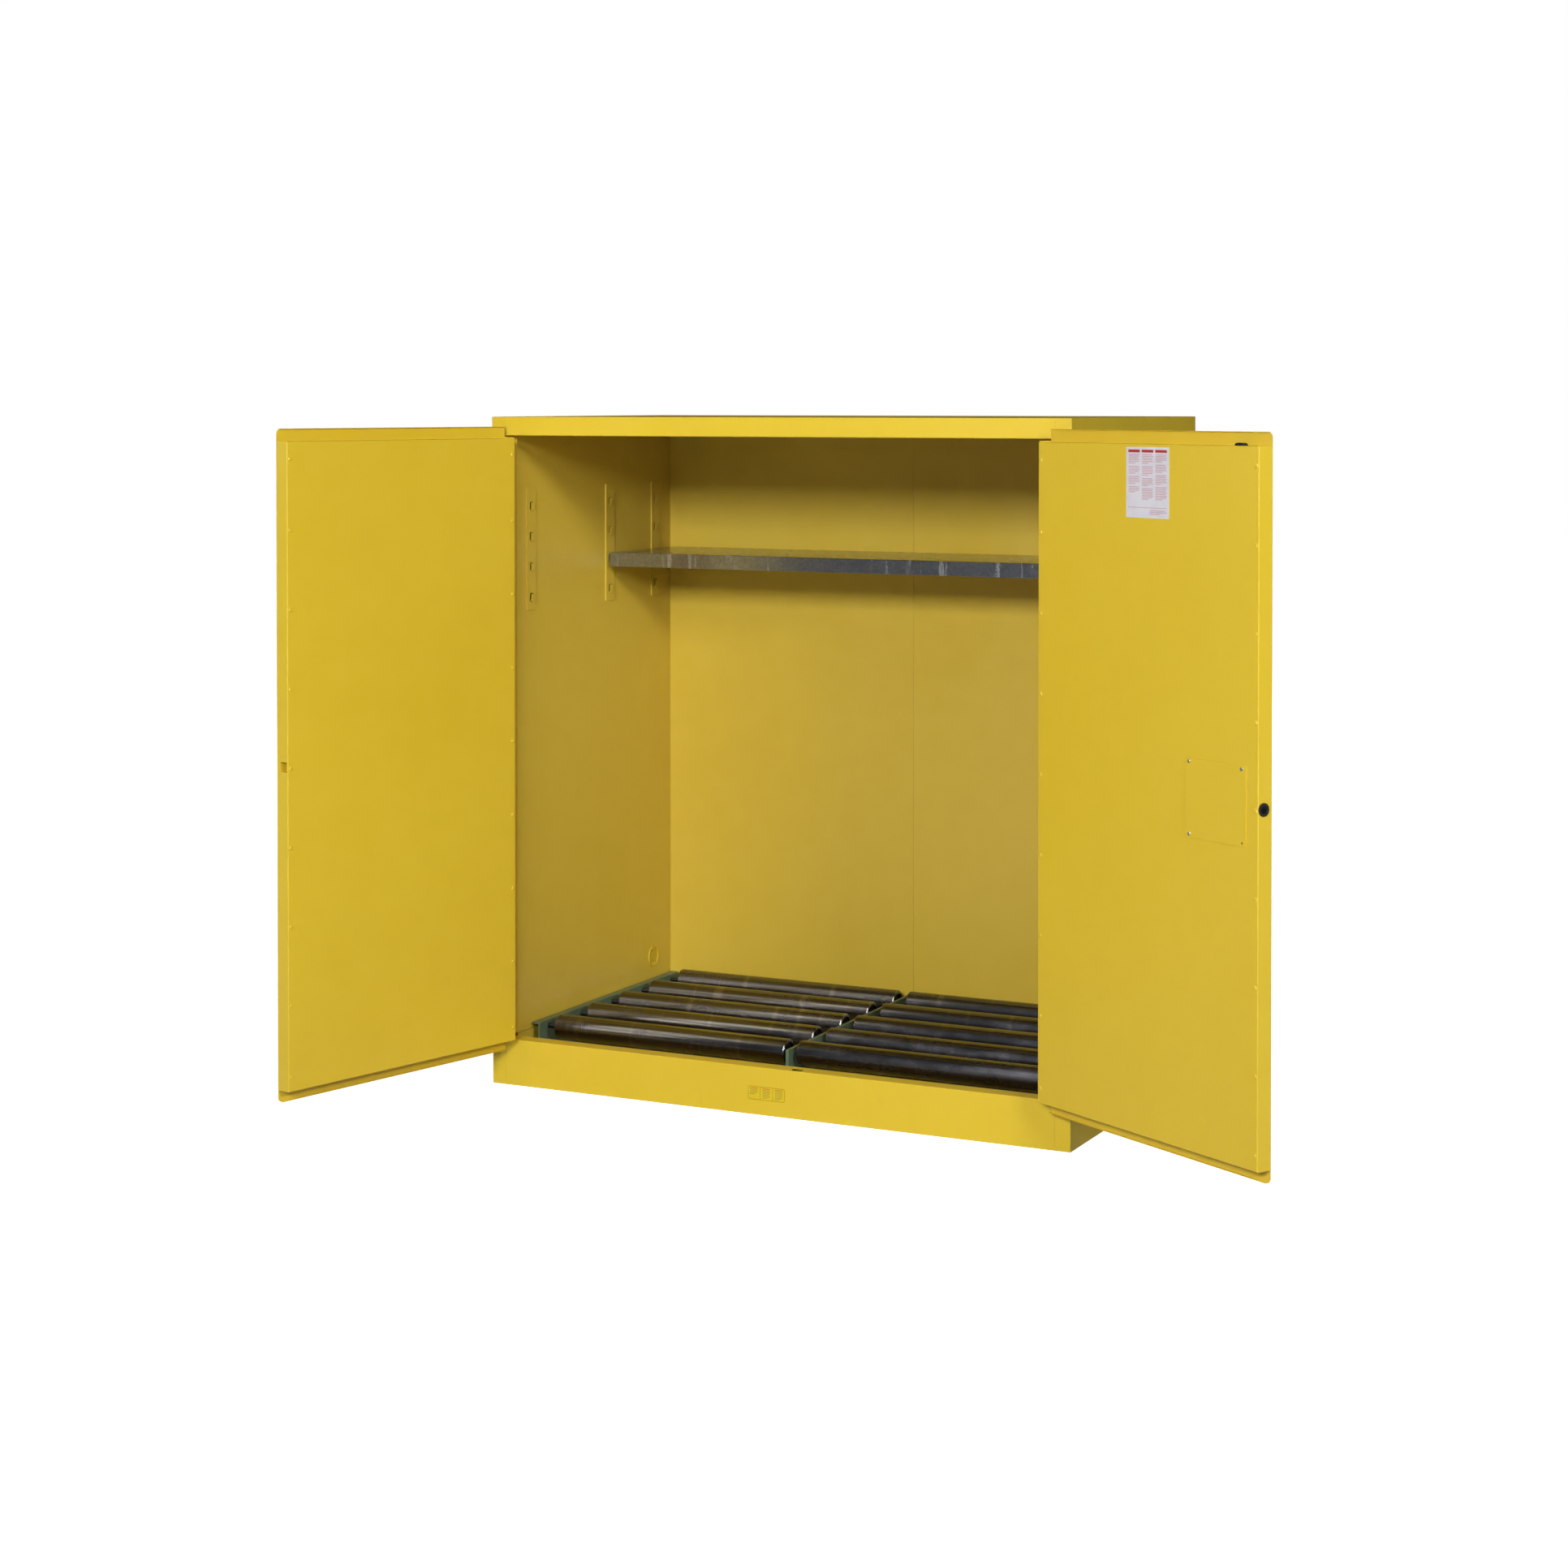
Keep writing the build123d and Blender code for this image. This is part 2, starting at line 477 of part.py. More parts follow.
# ---------------------------------------------------------------- doors
SPINDLE_HOLE_R, LOCK_HOLE_R = 8.0, 10.5
STRIKE_HOLE, STRIKE_WALL, STRIKE_DEEP = 22.0, 2.0, 24.0
WINDOW_INSET = 20.0
dimple_zs = [DIMPLE_MID_Z + DIMPLE_PITCH * step for step in range(-3, 4)]
dimple_zs += [DIMPLE_MID_Z - DIMPLE_END, DIMPLE_MID_Z + DIMPLE_END]
for side, sign in sides.items():
    with BuildPart(door_plane(side)) as skin:
        block((DOOR_U0, DOOR_U1), n_span(side, 0, SKIN_RETURN), (SKIN_Z0, SKIN_Z1))
        corners = skin.edges().filter_by(lambda edge: abs(edge.length - SKIN_RETURN) < 0.01)
        corners = corners.sort_by(lambda edge: door_plane(side).to_local_coords(edge.center()).X)[-2:]
        fillet(corners, SKIN_CORNER_R)
        inside_z = (SKIN_Z0 + SHEET, SKIN_Z1 - SHEET)
        block((DOOR_U0, DOOR_U1), n_span(side, SHEET, SKIN_RETURN), inside_z, Mode.SUBTRACT)
        if side == "right":
            with Locations((LATCH_U, n_at(side, 0), LATCH_Z)):
                Cylinder(SPINDLE_HOLE_R, 4 * SHEET, rotation=(90, 0, 0), mode=Mode.SUBTRACT)
            with Locations((LATCH_U, n_at(side, 0), LOCK_Z)):
                Cylinder(LOCK_HOLE_R, 4 * SHEET, rotation=(90, 0, 0), mode=Mode.SUBTRACT)
    save(skin, f"{side}_door_skin")

    with BuildPart(door_plane(side)) as box:
        block((DOOR_U0, DOOR_U1), n_span(side, SHEET, BOX_N), (BOX_Z0, BOX_Z1))
        face_middle = Vector((DOOR_U0 + DOOR_U1) / 2, n_at(side, BOX_N), mid_z)
        box_face = box.faces().sort_by_distance(door_plane(side).from_local_coords(face_middle))[0]
        fillet(box_face.edges(), BEND)
        block(
            (DOOR_U0 + SHEET, DOOR_U1 - SHEET),
            n_span(side, SHEET, BOX_N - SHEET),
            (BOX_Z0 + SHEET, BOX_Z1 - SHEET),
            Mode.SUBTRACT,
        )
        dimple_us = (DOOR_U0 + DIMPLE_INSET, DOOR_U1 - DIMPLE_INSET)
        with Locations(*[
            (u, n_at(side, BOX_N + DIMPLE_HIGH / 2), z)
            for u in dimple_us
            for z in dimple_zs
        ]):
            Cylinder(DIMPLE_R, DIMPLE_HIGH, rotation=(90, 0, 0))
        dimple_rims = box.edges().filter_by(lambda edge: edge.geom_type == GeomType.CIRCLE)
        dimple_rims = dimple_rims.filter_by(lambda edge: abs(edge.length - 2 * pi * DIMPLE_R) < 0.01)
        fillet(dimple_rims.group_by(Axis((0, 0, 0), door_plane(side).y_dir))[sign], DIMPLE_ROUND)
        if side == "left":
            with Locations((DOOR_U1, n_at(side, LATCH_N), LATCH_Z)):
                Box(6 * SHEET, STRIKE_HOLE, STRIKE_HOLE, mode=Mode.SUBTRACT)
        else:
            with Locations((DOOR_U1, n_at(side, LATCH_N), LATCH_Z)):
                Cylinder(GUIDE_BODY_R + FIT_GAP, 6 * SHEET, rotation=(0, 90, 0), mode=Mode.SUBTRACT)
            with Locations(*[(LATCH_U, n_at(side, LATCH_N), z) for z in (BOX_Z0, BOX_Z1)]):
                Box(BULLET_U + 2, BULLET_N + 2, 6 * SHEET, mode=Mode.SUBTRACT)
            block(
                (COVER_U0 + WINDOW_INSET, COVER_U1 - WINDOW_INSET),
                n_span(side, BOX_N - 2 * SHEET, BOX_N + SHEET),
                (COVER_Z0 + WINDOW_INSET, COVER_Z1 - WINDOW_INSET),
                Mode.SUBTRACT,
            )
            with Locations((COVER_U1 - COVER_INSET_U, n_at(side, BOX_N), COVER_Z0 + COVER_INSET_Z)):
                Cylinder(COVER_HOLE_R, 4 * SHEET, rotation=(90, 0, 0), mode=Mode.SUBTRACT)
    save(box, f"{side}_door_box")

# Strike box inside the free edge of the left door
left = door_plane("left")
with BuildPart(left) as left_strike:
    for grow, mode in ((STRIKE_WALL, Mode.ADD), (0, Mode.SUBTRACT)):
        reach = STRIKE_HOLE / 2 + grow
        cup_n = n_span("left", LATCH_N - reach, LATCH_N + reach)
        cup_u = (DOOR_U1 - STRIKE_DEEP + STRIKE_WALL - grow, DOOR_U1 - SHEET)
        block(cup_u, cup_n, (LATCH_Z - reach, LATCH_Z + reach), mode)
save(left_strike, "left_strike")

# ---------------------------------------------------------------- right door: covers and labels
right = door_plane("right")
cover_us = (COVER_U0 + COVER_INSET_U, COVER_U1 - COVER_INSET_U)
cover_zs = (COVER_Z0 + COVER_INSET_Z, COVER_Z1 - COVER_INSET_Z)
screw_spots = [(cover_us[0], cover_zs[0]), (cover_us[0], cover_zs[1]), (cover_us[1], cover_zs[1])]
with BuildPart(right) as access_plate:
    block((COVER_U0, COVER_U1), n_span("right", BOX_N, BOX_N + COVER_THICK), (COVER_Z0, COVER_Z1))
    with Locations((cover_us[1], n_at("right", BOX_N), cover_zs[0])):
        Cylinder(COVER_HOLE_R, 4 * COVER_THICK, rotation=(90, 0, 0), mode=Mode.SUBTRACT)
save(access_plate, "access_plate")

SCREW_HEAD_R, SCREW_HEAD = 4.2, 2.4
with BuildPart(right) as access_screws:
    head_n = BOX_N + COVER_THICK + SCREW_HEAD / 2
    with Locations(*[(u, n_at("right", head_n), z) for u, z in screw_spots]):
        Cylinder(SCREW_HEAD_R, SCREW_HEAD, rotation=(90, 0, 0))
    fillet(access_screws.edges().filter_by(GeomType.CIRCLE), 0.7)
save(access_screws, "access_screws")

with BuildPart(right) as door_label:
    block((LABEL_U0, LABEL_U1), n_span("right", BOX_N, BOX_N + LABEL_THICK), (LABEL_Z0, LABEL_Z1))
save(door_label, "door_label")

# ---------------------------------------------------------------- right door: latch
with BuildPart(right) as bolt_guide:
    GUIDE_RIM, GUIDE_LONG = 1.8, 16.0
    with Locations((DOOR_U1 + GUIDE_RIM / 2, n_at("right", LATCH_N), LATCH_Z)):
        Cylinder(GUIDE_RIM_R, GUIDE_RIM, rotation=(0, 90, 0))
    with Locations((DOOR_U1 - GUIDE_LONG / 2, n_at("right", LATCH_N), LATCH_Z)):
        Cylinder(GUIDE_BODY_R, GUIDE_LONG, rotation=(0, 90, 0))
    with Locations((DOOR_U1, n_at("right", LATCH_N), LATCH_Z)):
        Cylinder(BOLT_R + ROD_SLACK, 3 * GUIDE_LONG, rotation=(0, 90, 0), mode=Mode.SUBTRACT)
save(bolt_guide, "bolt_guide")

BOLT_ROD_END, BOLT_SHOULDER, BOLT_PROUD = 8.0, 28.0, 0.9
with BuildPart(right) as middle_bolt:
    bolt_n = n_at("right", LATCH_N)
    rod_mid, rod_long = span(LATCH_U + BOLT_ROD_END, LATCH_U + BOLT_SHOULDER)
    with Locations((rod_mid, bolt_n, LATCH_Z)):
        Cylinder(ROD_R, rod_long, rotation=(0, 90, 0))
    head_mid, head_long = span(LATCH_U + BOLT_SHOULDER, DOOR_U1 + BOLT_PROUD)
    with Locations((head_mid, bolt_n, LATCH_Z)):
        Cylinder(BOLT_R, head_long, rotation=(0, 90, 0))
    pin_mid, pin_long = span(*n_span("right", CAM_N0 - 0.5, LATCH_N))
    with Locations((LATCH_U + PIN_DRAWN, pin_mid, LATCH_Z)):
        Cylinder(CAM_PIN_R, pin_long, rotation=(90, 0, 0))
save(middle_bolt, "middle_bolt")

rod_ends = {
    "top_rod": (LATCH_Z + BOLT_ROD_END, BULLET_TOP_Z, LATCH_Z + PIN_DRAWN),
    "bottom_rod": (LATCH_Z - BOLT_ROD_END, BULLET_FOOT_Z, LATCH_Z - PIN_DRAWN),
}
for name, (inner_end, tip_end, pin_z) in rod_ends.items():
    outward = 1 if tip_end > inner_end else -1
    bullet_base = tip_end - outward * BULLET_LONG
    with BuildPart(right) as rod:
        bullet_mid, _ = span(bullet_base, tip_end)
        with Locations((LATCH_U, bolt_n, bullet_mid)):
            Box(BULLET_U, BULLET_N, BULLET_LONG)
        tip_face = rod.faces().filter_by(Axis.Z).sort_by(Axis.Z)[-1 if outward > 0 else 0]
        fillet(tip_face.edges(), 4)
        rod_mid, rod_long = span(*sorted((inner_end, bullet_base)))
        with Locations((LATCH_U, bolt_n, rod_mid)):
            Cylinder(ROD_R, rod_long)
        with Locations((LATCH_U, pin_mid, pin_z)):
            Cylinder(CAM_PIN_R, pin_long, rotation=(90, 0, 0))
    save(rod, name)

GUIDE_WIDE, GUIDE_HIGH = 34.0, 12.0
with BuildPart(right) as rod_guides:
    guide_n, guide_deep = span(*n_span("right", SHEET, LATCH_N + ROD_R + 4))
    with Locations(*[(LATCH_U, guide_n, z) for z in GUIDE_ZS]):
        Box(GUIDE_WIDE, guide_deep, GUIDE_HIGH)
    with Locations(*[(LATCH_U, bolt_n, z) for z in GUIDE_ZS]):
        Cylinder(ROD_R + ROD_SLACK, 2 * GUIDE_HIGH, mode=Mode.SUBTRACT)
save(rod_guides, "rod_guides")

# Disc with three curved slots. Turning it by HANDLE_TURN drives each pin out by THROW.
cam_face = n_at("right", CAM_N0)
cam_plane = Plane(
    origin=right.from_local_coords(Vector(LATCH_U, cam_face, LATCH_Z)),
    x_dir=right.x_dir,
    z_dir=-right.y_dir,
)
cam_arcs = []
for start in (90, 0, -90):
    reach = [
        ((PIN_DRAWN + THROW * part) * cos(radians(start - HANDLE_TURN * part)),
         (PIN_DRAWN + THROW * part) * sin(radians(start - HANDLE_TURN * part)))
        for part in (0, 0.5, 1)
    ]
    cam_arcs.append(ThreePointArc(*reach))
inward = right.y_dir * (1 if n_at("right", 1) > n_at("right", 0) else -1)
with BuildPart() as latch_cam:
    with BuildSketch(cam_plane):
        Circle(CAM_R)
        Circle(SPINDLE_R, mode=Mode.SUBTRACT)
        for arc in cam_arcs:
            SlotArc(arc, CAM_SLOT, mode=Mode.SUBTRACT)
    extrude(amount=CAM_THICK, dir=inward)
save(latch_cam, "latch_cam")

PLATE_THICK, PLATE_WIDE, PLATE_Z0, PLATE_Z1 = 3.0, 58.0, 806.0, 926.0
with BuildPart(right) as handle_plate:
    plate_mid, plate_high = span(PLATE_Z0, PLATE_Z1)
    with Locations((LATCH_U, n_at("right", -PLATE_THICK / 2), plate_mid)):
        Box(PLATE_WIDE, PLATE_THICK, plate_high)
    corner = handle_plate.edges().filter_by(lambda edge: abs(edge.length - PLATE_THICK) < 0.01)
    fillet(corner, 10)
    with Locations((LATCH_U, n_at("right", -PLATE_THICK - 1.5), LOCK_Z)):
        Cylinder(LOCK_HOLE_R, 3, rotation=(90, 0, 0))
    with Locations((LATCH_U, n_at("right", 0), LOCK_Z)):
        Cylinder(LOCK_R + 0.1, 20, rotation=(90, 0, 0), mode=Mode.SUBTRACT)
    with Locations((LATCH_U, n_at("right", 0), LATCH_Z)):
        Cylinder(SPINDLE_R + 0.1, 20, rotation=(90, 0, 0), mode=Mode.SUBTRACT)
save(handle_plate, "handle_plate")

# Lever and spindle. Unlatched, the lever points down and towards the hinge; latched, straight down.
HUB_R, HUB_N0, HUB_N1 = 17.0, -30.0, -3.5
lever_turn = radians(270 - HANDLE_TURN)
lever_plane = Plane(
    origin=right.from_local_coords(Vector(LATCH_U, n_at("right", HUB_N0), LATCH_Z)),
    x_dir=right.x_dir * cos(lever_turn) + Vector(0, 0, 1) * sin(lever_turn),
    z_dir=-right.y_dir,
)
with BuildPart() as handle:
    with BuildSketch(lever_plane):
        Circle(HUB_R)
        with Locations((LEVER_LONG / 2, 0)):
            SlotCenterToCenter(LEVER_LONG, LEVER_WIDE)
    extrude(amount=LEVER_THICK, dir=inward)
    fillet(handle.edges(), 2.5)
    with BuildSketch(lever_plane):
        Circle(HUB_R - 3)
    extrude(amount=HUB_N1 - HUB_N0, dir=inward)
    with BuildSketch(lever_plane):
        Circle(SPINDLE_R)
    extrude(amount=CAM_N0 + CAM_THICK - HUB_N0, dir=inward)
save(handle, "handle")

LOCK_N0, LOCK_N1, TAIL_LONG = -7.5, 8.0, 20.0
with BuildPart(right) as key_lock:
    plug_n, plug_long = span(*n_span("right", LOCK_N0, LOCK_N1))
    with Locations((LATCH_U, plug_n, LOCK_Z)):
        Cylinder(LOCK_R, plug_long, rotation=(90, 0, 0))
    keyway = (LATCH_U - 0.8, LATCH_U + 0.8)
    block(keyway, n_span("right", LOCK_N0, LOCK_N0 + 4), (LOCK_Z - 4, LOCK_Z + 4), Mode.SUBTRACT)
    tail_n = n_span("right", LOCK_N1 - 2.5, LOCK_N1)
    block((LATCH_U - TAIL_LONG, LATCH_U), tail_n, (LOCK_Z - 5, LOCK_Z + 5))
save(key_lock, "key_lock")

# ---------------------------------------------------------------- vents and earthing stud
vent_ends = {side: Vector(sign * half, VENT_Y, VENT_Z[side]) for side, sign in sides.items()}


def outward_disc(side, x0, x1, radius, mode=Mode.ADD):
    """Disc on a vent's axis, between distances x0 and x1 from the cabinet's middle plane."""
    middle, long = span(x0, x1)
    with Locations((sides[side] * middle, VENT_Y, VENT_Z[side])):
        Cylinder(radius, long, rotation=(0, 90, 0), mode=mode)


# A flame screen closes the inner end of each vent.
SCREEN_THICK, SCREEN_HOLE_R, SCREEN_PITCH = 1.5, 1.9, 5.2
with BuildPart() as vents:
    for side, sign in sides.items():
        outward_disc(side, INNER_X - 2, half + VENT_OUT, VENT_R)
        outward_disc(side, half, half + 3, VENT_FLANGE_R)
        outward_disc(side, INNER_X + 1, half + VENT_OUT + 2, VENT_BORE_R, Mode.SUBTRACT)
        outward_disc(side, INNER_X - 4, INNER_X + 1 - SCREEN_THICK, VENT_BORE_R, Mode.SUBTRACT)
        with BuildSketch(Plane.YZ.offset(sign * INNER_X)):
            with Locations((VENT_Y, VENT_Z[side])):
                with HexLocations(SCREEN_PITCH / 2, 7, 7):
                    Circle(SCREEN_HOLE_R)
        extrude(amount=3 * SCREEN_THICK, both=True, mode=Mode.SUBTRACT)
save(vents, "vents")

with BuildPart() as vent_caps:
    for side, sign in sides.items():
        outward_disc(side, half + 3.2, half + 3.2 + CAP_LONG, CAP_R)
        outward_disc(side, half + 3.2, half + VENT_OUT + 0.5, VENT_R + 0.3, Mode.SUBTRACT)
        with BuildSketch(Plane.YZ.offset(sign * (half + 3.2 + CAP_LONG / 2))):
            with Locations((VENT_Y, VENT_Z[side])):
                with PolarLocations(CAP_R + 2, 12):
                    Circle(4)
        extrude(amount=CAP_LONG, both=True, mode=Mode.SUBTRACT)
save(vent_caps, "vent_caps")

NUT_ACROSS, NUT_THICK, WASHER_R, WASHER_THICK = 10.0, 5.0, 6.0, 1.2
with BuildPart() as ground_stud:
    with BuildSketch(Plane.YZ.offset(-half)):
        with Locations((STUD_Y, STUD_Z)):
            Circle(WASHER_R)
    extrude(amount=-WASHER_THICK)
    with BuildSketch(Plane.YZ.offset(-half - WASHER_THICK)):
        with Locations((STUD_Y, STUD_Z)):
            RegularPolygon(NUT_ACROSS / 2, 6, major_radius=False)
    extrude(amount=-NUT_THICK)
    with BuildSketch(Plane.YZ.offset(-half)):
        with Locations((STUD_Y, STUD_Z)):
            Circle(STUD_R)
    extrude(amount=-STUD_OUT)
save(ground_stud, "ground_stud")
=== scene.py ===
"""Two-door safety cabinet for drums: materials, small hardware finishes among them, printed labels, floor, light
and camera.
"""
import json
from math import cos, radians, sin

import bmesh
import bpy
from mathutils import Matrix, Vector


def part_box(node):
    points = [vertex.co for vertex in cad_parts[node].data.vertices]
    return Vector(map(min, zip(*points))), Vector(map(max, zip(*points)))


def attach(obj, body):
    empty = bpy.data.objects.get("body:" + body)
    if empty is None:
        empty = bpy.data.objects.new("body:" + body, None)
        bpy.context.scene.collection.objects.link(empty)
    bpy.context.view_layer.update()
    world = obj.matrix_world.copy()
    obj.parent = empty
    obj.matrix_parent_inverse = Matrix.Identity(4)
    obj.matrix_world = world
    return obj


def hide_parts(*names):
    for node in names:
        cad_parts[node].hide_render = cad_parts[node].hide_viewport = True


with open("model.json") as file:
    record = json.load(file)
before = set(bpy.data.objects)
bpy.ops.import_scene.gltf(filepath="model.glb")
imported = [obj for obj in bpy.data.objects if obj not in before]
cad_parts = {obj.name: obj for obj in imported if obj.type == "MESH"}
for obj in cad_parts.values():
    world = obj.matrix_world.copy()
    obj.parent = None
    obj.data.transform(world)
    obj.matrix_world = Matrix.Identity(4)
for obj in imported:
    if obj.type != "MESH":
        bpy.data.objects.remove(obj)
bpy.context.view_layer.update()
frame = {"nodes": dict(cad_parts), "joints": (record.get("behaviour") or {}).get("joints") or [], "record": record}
nodes = frame["nodes"]
record = frame["record"]

# ---------------------------------------------------------------- node graph helpers


def new_material(name):
    """Material with one Principled shader; returns it with its tree and shader."""
    mat = bpy.data.materials.new(name)
    mat.use_nodes = True
    tree = mat.node_tree
    shader = next(n for n in tree.nodes if n.type == "BSDF_PRINCIPLED")
    return mat, tree, shader


def add(tree, kind, inputs=None, **props):
    """New node with its properties and inputs set; an input may be a socket or a value."""
    node = tree.nodes.new("ShaderNode" + kind)
    for key, value in props.items():
        setattr(node, key, value)
    for key, value in (inputs or {}).items():
        if isinstance(value, bpy.types.NodeSocket):
            tree.links.new(value, node.inputs[key])
        else:
            node.inputs[key].default_value = value
    return node


def coords(tree, stretch=(1, 1, 1), offset=(0, 0, 0)):
    """Object coordinates, stretched and shifted."""
    place = add(tree, "TexCoord").outputs["Object"]
    mapping = add(tree, "Mapping", {"Vector": place, "Scale": stretch, "Location": offset})
    return mapping.outputs["Vector"]


def noise(tree, scale, detail=3.0, rough=0.5, stretch=(1, 1, 1), offset=(0, 0, 0), distortion=0.0):
    """Grey noise on the object."""
    settings = {
        "Vector": coords(tree, stretch, offset),
        "Scale": scale,
        "Detail": detail,
        "Roughness": rough,
        "Distortion": distortion,
    }
    return add(tree, "TexNoise", settings).outputs["Fac"]


def ramp(tree, fac, low, high, to_low=0.0, to_high=1.0):
    """Clamped linear step of a grey value from low..high to to_low..to_high."""
    settings = {"Value": fac, "From Min": low, "From Max": high, "To Min": to_low, "To Max": to_high}
    return add(tree, "MapRange", settings, clamp=True).outputs["Result"]


def math(tree, operation, a, b=0.0):
    """One arithmetic step on grey values."""
    return add(tree, "Math", {0: a, 1: b}, operation=operation).outputs["Value"]


def mix(tree, fac, a, b, blend="MIX"):
    """Colour mix; a and b are colours or sockets."""
    node = add(tree, "Mix", data_type="RGBA", blend_type=blend)
    for key, value in ((0, fac), (6, a), (7, b)):
        if isinstance(value, bpy.types.NodeSocket):
            tree.links.new(value, node.inputs[key])
        else:
            node.inputs[key].default_value = value
    return node.outputs[2]


def height(tree):
    """Height above the floor of a point, in metres."""
    place = add(tree, "TexCoord").outputs["Object"]
    return add(tree, "SeparateXYZ", {"Vector": place}).outputs["Z"]


def bump(tree, fac, distance, strength=1.0, under=None):
    """Bump of a grey value, laid over another normal if there is one."""
    settings = {"Height": fac, "Distance": distance, "Strength": strength}
    if under is not None:
        settings["Normal"] = under
    return add(tree, "Bump", settings).outputs["Normal"]


def rgb(r, g, b):
    """Opaque colour from 0-255 sRGB."""
    def linear(c):
        c /= 255
        return c / 12.92 if c <= 0.04045 else ((c + 0.055) / 1.055) ** 2.4
    return (linear(r), linear(g), linear(b), 1.0)


# ---------------------------------------------------------------- materials
EDGE_ROUND = 0.0007


def enamel(name, colour, dusk, glare, wear=0.0, rough=0.34):
    """Sprayed enamel on sheet: slight mottle, orange peel, panel waviness, and scuffs down low."""
    mat, tree, shader = new_material(name)
    drift = noise(tree, 1.3, 2.0, 0.45)
    mottle = noise(tree, 14.0, 4.0, 0.55, offset=(3.1, 0.4, 1.7))
    base = mix(tree, ramp(tree, drift, 0.3, 0.7), dusk, colour)
    base = mix(tree, ramp(tree, mottle, 0.35, 0.75, 0.0, 0.28), base, glare)
    streak = noise(tree, 38.0, 8.0, 0.72, stretch=(0.7, 0.7, 0.16), offset=(5.0, 2.0, 0.0))
    low = ramp(tree, height(tree), 0.02, 0.42, 1.0, 0.25)
    scuff = math(tree, "MULTIPLY", ramp(tree, streak, 0.63, 0.74), low)
    dull = (colour[0] * 0.55, colour[1] * 0.52, colour[2] * 1.6 + 0.01, 1.0)
    base = mix(tree, math(tree, "MULTIPLY", scuff, 0.22 + wear), base, dull)
    tree.links.new(base, shader.inputs["Base Color"])
    smear = noise(tree, 4.5, 5.0, 0.6, stretch=(1, 1, 0.5), offset=(0.0, 7.0, 0.0))
    smeared = ramp(tree, smear, 0.3, 0.75, rough - 0.05, rough + 0.09)
    gloss = math(tree, "ADD", smeared, math(tree, "MULTIPLY", scuff, 0.2))
    tree.links.new(gloss, shader.inputs["Roughness"])
    rounded = add(tree, "Bevel", {"Radius": EDGE_ROUND}, samples=4).outputs["Normal"]
    wave = bump(tree, noise(tree, 2.6, 1.0, 0.4, offset=(9.0, 1.0, 2.0)), 0.004, 0.35, rounded)
    peel = bump(tree, noise(tree, 420.0, 2.0, 0.5), 0.00012, 0.55, wave)
    tree.links.new(peel, shader.inputs["Normal"])
    shader.inputs["Specular IOR Level"].default_value = 0.42
    shader.inputs["Coat Weight"].default_value = 0.18
    shader.inputs["Coat Roughness"].default_value = 0.22
    return mat


def galvanised(name):
    """Zinc-coated sheet: fine low spangle, drawn-down streaks and pale handling scrapes."""
    mat, tree, shader = new_material(name)
    warp = add(tree, "TexNoise", {"Vector": coords(tree), "Scale": 90.0, "Detail": 2.0}).outputs["Color"]
    place = mix(tree, 0.008, coords(tree), warp, "ADD")
    cells = add(tree, "TexVoronoi", {"Vector": place, "Scale": 230.0}, feature="F1")
    flake = add(tree, "SeparateColor", {"Color": cells.outputs["Color"]})
    base = mix(tree, ramp(tree, flake.outputs["Red"], 0.0, 1.0), rgb(146, 150, 159), rgb(170, 174, 182))
    cloud = noise(tree, 7.0, 5.0, 0.6, offset=(2.0, 3.0, 4.0))
    base = mix(tree, ramp(tree, cloud, 0.4, 0.7, 0.0, 0.35), base, rgb(128, 133, 143))
    streak = noise(tree, 30.0, 6.0, 0.7, stretch=(1, 1, 0.1), offset=(1.0, 6.0, 0.0))
    scrape = ramp(tree, streak, 0.56, 0.74, 0.0, 0.75)
    base = mix(tree, scrape, base, rgb(222, 223, 226))
    tree.links.new(base, shader.inputs["Base Color"])
    shader.inputs["Metallic"].default_value = 0.95
    sheen = ramp(tree, flake.outputs["Green"], 0.0, 1.0, 0.19, 0.24)
    tree.links.new(math(tree, "ADD", sheen, math(tree, "MULTIPLY", scrape, 0.25)), shader.inputs["Roughness"])
    rounded = add(tree, "Bevel", {"Radius": EDGE_ROUND}, samples=4).outputs["Normal"]
    wave = bump(tree, noise(tree, 9.0, 2.0, 0.5, offset=(3.0, 0.0, 5.0)), 0.0012, 0.25, rounded)
    tree.links.new(bump(tree, flake.outputs["Blue"], 0.00004, 0.15, wave), shader.inputs["Normal"])
    return mat


def roller_tube(name):
    """Bare drawn tube: long mill streaks, thin brown oxide, and rings rubbed bright by drum chimes."""
    mat, tree, shader = new_material(name)
    streak = noise(tree, 150.0, 5.0, 0.6, stretch=(0.012, 1, 1))
    oxide = noise(tree, 11.0, 6.0, 0.65, stretch=(0.5, 1, 1), offset=(1.0, 5.0, 2.0))
    rubbed = noise(tree, 26.0, 3.0, 0.7, stretch=(1, 0.05, 0.05), offset=(4.0, 0.0, 0.0))
    base = mix(tree, ramp(tree, streak, 0.3, 0.7), rgb(88, 88, 94), rgb(130, 130, 136))
    base = mix(tree, ramp(tree, oxide, 0.5, 0.72, 0.0, 0.2), base, rgb(86, 76, 70))
    base = mix(tree, ramp(tree, rubbed, 0.58, 0.7, 0.0, 0.4), base, rgb(168, 167, 168))
    tree.links.new(base, shader.inputs["Base Color"])
    shader.inputs["Metallic"].default_value = 1.0
    dull = ramp(tree, oxide, 0.45, 0.72, 0.0, 0.14)
    polished = ramp(tree, streak, 0.3, 0.7, 0.24, 0.18)
    tree.links.new(math(tree, "ADD", polished, dull), shader.inputs["Roughness"])
    scratch = noise(tree, 900.0, 2.0, 0.6, stretch=(0.02, 1, 1))
    dents = bump(tree, noise(tree, 30.0, 3.0, 0.5), 0.0004, 0.15)
    tree.links.new(bump(tree, scratch, 0.00006, 0.5, dents), shader.inputs["Normal"])
    return mat


